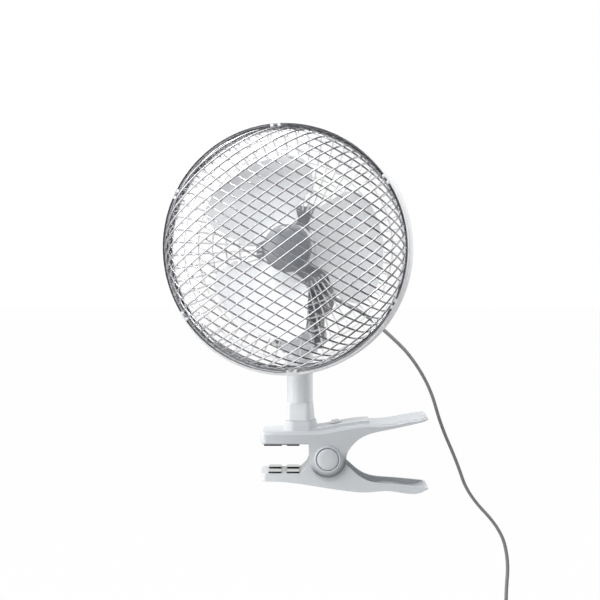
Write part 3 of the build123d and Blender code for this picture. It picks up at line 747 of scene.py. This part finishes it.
def bowedWire(form, lean, grow):
    halfLength = sqrt((form["radius"] + grow) ** 2 - (form["hinge"] * tan(lean)) ** 2)
    run = []
    for step in range(form["points"] + 1):
        turn = pi * (step / form["points"] - 0.5)
        along = halfLength * copysign(abs(sin(turn)) ** (2 / form["square"]), turn)
        low = form["hinge"] / cos(lean)
        high = (form["hinge"] + form["depth"] + grow) / cos(lean)
        for _ in range(40):  # halves the gap until the wire lies on the dome
            middle = (low + high) / 2
            height = middle * cos(lean) - form["hinge"]
            if height < domeHeight(form, hypot(along, middle * sin(lean)), grow):
                low = middle
            else:
                high = middle
        run.append((along, low * sin(lean), low * cos(lean) - form["hinge"]))
    return run


def meshLayer(form, turn, grow, phase):
    runs = []
    step = form["pitch"] / (form["hinge"] + form["depth"])
    spin = Matrix.Rotation(turn, 3, "Z")
    for number in range(-form["wiresEachSide"], form["wiresEachSide"] + 1):
        lean = (number + phase) * step
        if abs(form["hinge"] * tan(lean)) > form["lastWire"] * form["radius"]:
            continue
        runs.append([tuple(spin @ Vector(point)) for point in bowedWire(form, lean, grow)])
    return wires(runs, form["wire"])


outerWires = meshLayer(meshForm, meshForm["half"], **meshForm["layers"]["outer"])
settle(outerWires, "meshOuter", "mesh_wires_outer", place=guardAxes, angle=80)
innerWires = meshLayer(meshForm, -meshForm["half"], **meshForm["layers"]["inner"])
settle(innerWires, "meshInner", "mesh_wires_inner", place=guardAxes, angle=80)
hoop = turned(hoopForm["profile"], steps=hoopForm["steps"], closed=True)
settle(hoop, "meshHoop", "mesh_hoop", place=guardAxes, angle=60, finish="hoopWire")
print("front mesh woven")

# ---- rear guard: bowed spokes, the rings that tie them and the plate that holds them ----
rearForm = {
    "radius": 89.0,
    "start": -5.0,
    "depth": 39.2,
    "square": 2.6,
    "spokes": 56,
    "spokePoints": 14,
    "first": 28.0,
    "wire": 1.3,
    "rings": (45.0, 55.0, 65.0, 75.0, 84.0),
    "rim": 90.6,
    "rimDrop": 0.2,
    "ringPoints": 80,
}
plateForm = {
    "profile": [
        (8.0, -46.6), (8.0, -45.3), (31.5, -45.3), (32.6, -45.5), (33.0, -46.0), (32.6, -46.6),
    ],
    "steps": 72,
}


def rearPoint(form, turn, grow=0.0):
    radius = (form["radius"] + grow) * sin(turn) ** (2 / form["square"])
    return radius, form["start"] - (form["depth"] + grow) * cos(turn) ** (2 / form["square"])


def rearTurn(form, radius):
    return asin((radius / form["radius"]) ** (form["square"] / 2))


def levelRing(form, radius, height):
    turns = [step * 2 * pi / form["ringPoints"] for step in range(form["ringPoints"])]
    return [(radius * cos(turn), radius * sin(turn), height) for turn in turns]


firstTurn = rearTurn(rearForm, rearForm["first"])
spokes = []
for number in range(rearForm["spokes"]):
    around = 2 * pi * number / rearForm["spokes"]
    spoke = []
    for step in range(rearForm["spokePoints"] + 1):
        turn = firstTurn + (pi / 2 - firstTurn) * step / rearForm["spokePoints"]
        radius, height = rearPoint(rearForm, turn)
        spoke.append((radius * cos(around), radius * sin(around), height))
    spokes.append(spoke)
settle(wires(spokes, rearForm["wire"]), "rearSpokes", "rear_wires", place=guardAxes, angle=80)
ringRuns = []
for ringRadius in rearForm["rings"]:
    wide, height = rearPoint(rearForm, rearTurn(rearForm, ringRadius), rearForm["wire"])
    ringRuns.append(levelRing(rearForm, wide, height))
ringRuns.append(levelRing(rearForm, rearForm["rim"], rearForm["start"] - rearForm["rimDrop"]))
rearRings = wires(ringRuns, rearForm["wire"], cyclic=True)
settle(rearRings, "rearRings", "rear_rings", place=guardAxes, angle=80)
hubPlate = turned(plateForm["profile"], steps=plateForm["steps"], closed=True)
settle(hubPlate, "rearHubPlate", "rear_hub_plate", place=headAxes)
print("rear guard done")

# ---- head, neck and clip: the solids with their edges rounded ----
clipParts = {
    "motor_front_shell": {"name": "housingFront", "edge": 1.4, "segments": 4},
    "motor_rear_shell": {"name": "housingBack", "edge": 0.5},
    "neck_post": {"name": "neckPost", "edge": 0.7, "segments": 4},
    "upper_jaw": {
        "name": "clipUpper", "edge": 0.6, "angle": 60, "flat": 0.1, "finish": "clipShaded",
    },
    "lower_jaw": {"name": "clipLower", "edge": 0.7, "segments": 4},
}
for node, look in clipParts.items():
    softened(node, **look)

# Rubber pads: widened to the jaws, and a thin web between the upper ones.
padForm = {
    "edge": 0.5,
    "spread": 1.13,
    "upper_pads": {"name": "padsUpper", "finish": "pad_rubber"},
    "lower_pads": {"name": "padsLower", "finish": "padGloss"},
    "web": {"size": (26.6, 36.8, 0.7), "middle": (6.8, 0, 1.04), "edge": 0.2},
}
for node in ("upper_pads", "lower_pads"):
    editAll(softened(node, edge=padForm["edge"], **padForm[node]))
    bpy.ops.transform.resize(value=(1, padForm["spread"], 1), center_override=(0, 0, 0))
    if node == "upper_pads":
        web = padForm["web"]
        middle = Vector(web["middle"]) * mm
        bpy.ops.mesh.select_all(action="DESELECT")
        bpy.ops.mesh.primitive_cube_add(size=mm, location=middle, scale=web["size"])
        bpy.ops.mesh.bevel(offset=web["edge"] * mm, segments=2, affect="EDGES")
    bpy.ops.object.mode_set(mode="OBJECT")
softened("switch_knob", "slideKnob", edge=0.4)
softened("impeller", "bladeWheel", edge=0.5)

# Caps of the clip's axle: a rim, a groove and a raised button.
capForm = {
    "profile": [
        (0, 21.9), (10.0, 21.9), (10.2, 22.1), (10.2, 23.2), (9.9, 23.9), (9.5, 24.1),
        (9.1, 23.9), (8.9, 23.3), (8.85, 22.2), (8.3, 22.2), (8.25, 23.6), (8.0, 24.1),
        (7.3, 24.5), (4.0, 24.65), (0, 24.7),
    ],
    "steps": 72,
}
capSides = {
    "pin_cap_near": ("axleCapNear", axleAxes),
    "pin_cap_far": ("axleCapFar", axleAxes @ Matrix.Rotation(pi, 4, "X")),
}
for node, (name, place) in capSides.items():
    cap = turned(capForm["profile"], steps=capForm["steps"])
    settle(cap, name, node, place=place)

# Nose of the blades: a shallow dome with a straight skirt.
noseForm = {
    "nose": 3.0,
    "curve": 38.0,
    "radii": (0, 2.5, 5, 7.5, 10, 12.5, 14.5, 16, 17.1),
    "skirt": [(17.9, -2.4), (18.15, -3.6), (18.2, -5.0), (18.2, -7.9), (0, -7.9)],
    "steps": 80,
}
noseLine = [
    (radius, noseForm["nose"] - noseForm["curve"] + sqrt(noseForm["curve"] ** 2 - radius**2))
    for radius in noseForm["radii"]
]
nose = turned([*noseLine, *noseForm["skirt"]], steps=noseForm["steps"])
settle(nose, "spinnerCap", "spinner_cap", place=headAxes)

# Spring on the axle: two turns with a straight leg at each end.
springForm = {
    "wire": 1.8,
    "radius": 6.2,
    "grown": 1.01,
    "pitch": 3.6,
    "turns": 2,
    "pointsPerTurn": 16,
    "overlap": 5,
    "start": radians(130),
    "side": 3.0,
    "firstLeg": (-25.6, -18, -10, -4),
    "lastLeg": (-4, -10, -16, -22.2),
}
springRise = springForm["pitch"] * springForm["turns"]
springRun = [(springForm["radius"], along, 0) for along in springForm["firstLeg"]]
for step in range(springForm["turns"] * springForm["pointsPerTurn"] + springForm["overlap"]):
    turn = 2 * pi * step / springForm["pointsPerTurn"]
    rise = min(springForm["pitch"] * step / springForm["pointsPerTurn"], springRise)
    grown = springForm["radius"] * springForm["grown"]
    springRun.append((grown * cos(turn), grown * sin(turn), rise))
springRun += [(along, springForm["radius"], springRise) for along in springForm["lastLeg"]]
spring = wires([springRun], springForm["wire"], sides=3)
springTurn = Matrix.Rotation(springForm["start"], 4, "Z")
springShift = Matrix.Translation((0, 0, -(springRise / 2 + springForm["side"]) * mm))
springPlace = axleAxes @ springTurn @ springShift
settle(spring, "torsionSpring", "torsion_spring", place=springPlace, angle=80)

for node, obj in frame["nodes"].items():
    if not obj.hide_render:
        dress(obj, slotOf[node])
print("clip, neck and head dressed")

# ---- stage: pale floor, white surround, dark cards for the reflections, soft lamps ----
floorLook = {
    "height": -0.262,
    "size": 14.0,
    "dark": (0.44, 0.44, 0.44),
    "pale": (0.46, 0.46, 0.46),
    "speck": 3.0,
    "glow": 0.98,
    "glowSpread": 0.01,
}
pick()
bpy.ops.mesh.primitive_plane_add(size=floorLook["size"], location=(0, 0, floorLook["height"]))
floor = bpy.context.object
floor.name = "floor"
paint = Finish("paleFloor")
speck = paint.noise(floorLook["speck"], 3)
paint.set(Base_Color=paint.mix(speck, floorLook["dark"], floorLook["pale"]), Roughness=0.95)
seen = paint.node("ShaderNodeLightPath", out="Is Camera Ray")
seen = seen * (floorLook["glow"] + speck * floorLook["glowSpread"])
glow = paint.node("ShaderNodeEmission", None, {"Color": (1, 1, 1), "Strength": 1.0})
lit = Field(paint, paint.shader.outputs[0])
surface = paint.node("ShaderNodeMixShader", None, {0: seen, 1: lit, 2: glow})
paint.feed(paint.tree.nodes["Material Output"].inputs["Surface"], surface)
floor.data.materials.append(paint.material)

worldLook = {"light": 0.46, "shown": 1.0}  # on the object, and to the camera and in gloss
world = bpy.data.worlds.new("studio")
scene.world = world
world.use_nodes = True
sky = NodeTree(world.node_tree)
rays = sky.node("ShaderNodeLightPath", out="Is Camera Ray")
shown = rays + rays.beside("Is Glossy Ray")
shown = shown.math("ADD", rays.beside("Is Transmission Ray"), clamp=True)
levels = {"Value": shown, "To Min": worldLook["light"], "To Max": worldLook["shown"]}
background = sky.tree.nodes["Background"]
sky.feed(background.inputs["Color"], (1, 1, 1))
sky.feed(background.inputs["Strength"], sky.node("ShaderNodeMapRange", None, levels))

# Dark cards behind the camera, to its right and below right, seen only in reflections.
cards = {
    "cardFront": {"place": (1.2, -2.0, 1.2), "turn": (pi / 2, 0, 0), "size": (5.4, 4.6)},
    "cardRight": {"place": (1.9, 0.0, 1.2), "turn": (pi / 2, 0, pi / 2), "size": (5.0, 4.6)},
    "cardBelow": {"place": (1.6, -0.4, -0.255), "turn": (0, 0, 0), "size": (3.2, 4.4)},
}
clothLook = {"dark": (0.012, 0.012, 0.013), "pale": (0.02, 0.02, 0.022), "weave": 40}
cloth = Finish("darkCard")
weave = cloth.mix(cloth.noise(clothLook["weave"], 3), clothLook["dark"], clothLook["pale"])
cloth.set(Base_Color=weave, Roughness=0.9)
for name, card in cards.items():
    bpy.ops.mesh.primitive_plane_add(size=1, location=card["place"], rotation=card["turn"])
    plane = bpy.context.object
    plane.name = name
    plane.scale = (*card["size"], 1)
    plane.data.materials.append(cloth.material)
    plane.visible_camera = False
    plane.visible_diffuse = False
    plane.visible_transmission = False
    plane.visible_shadow = False

lampAim = Vector((0.02, 0, 0.1))
lamps = {
    "left": {"place": (-1.3, -0.45, 0.25), "size": (1.2, 1.2), "power": 12},
    "aboveLeft": {"place": (-0.5, -0.2, 1.2), "size": (0.7, 1.6), "power": 20},
    "backRight": {"place": (1.3, 0.6, 0.3), "size": (1.8, 1.8), "power": 15},
    "key": {"place": (-0.45, -0.85, 1.35), "size": (0.45, 0.45), "power": 13},
}
for name, lamp in lamps.items():
    bpy.ops.object.light_add(type="AREA", location=lamp["place"])
    light = bpy.context.object
    light.name = name
    light.data.shape = "RECTANGLE"
    light.data.size, light.data.size_y = lamp["size"]
    light.data.energy = lamp["power"]
    turn = (lampAim - Vector(lamp["place"])).to_track_quat("-Z", "Y")
    light.rotation_euler = turn.to_euler()
scene.view_settings.view_transform = "Standard"
print("stage lit")
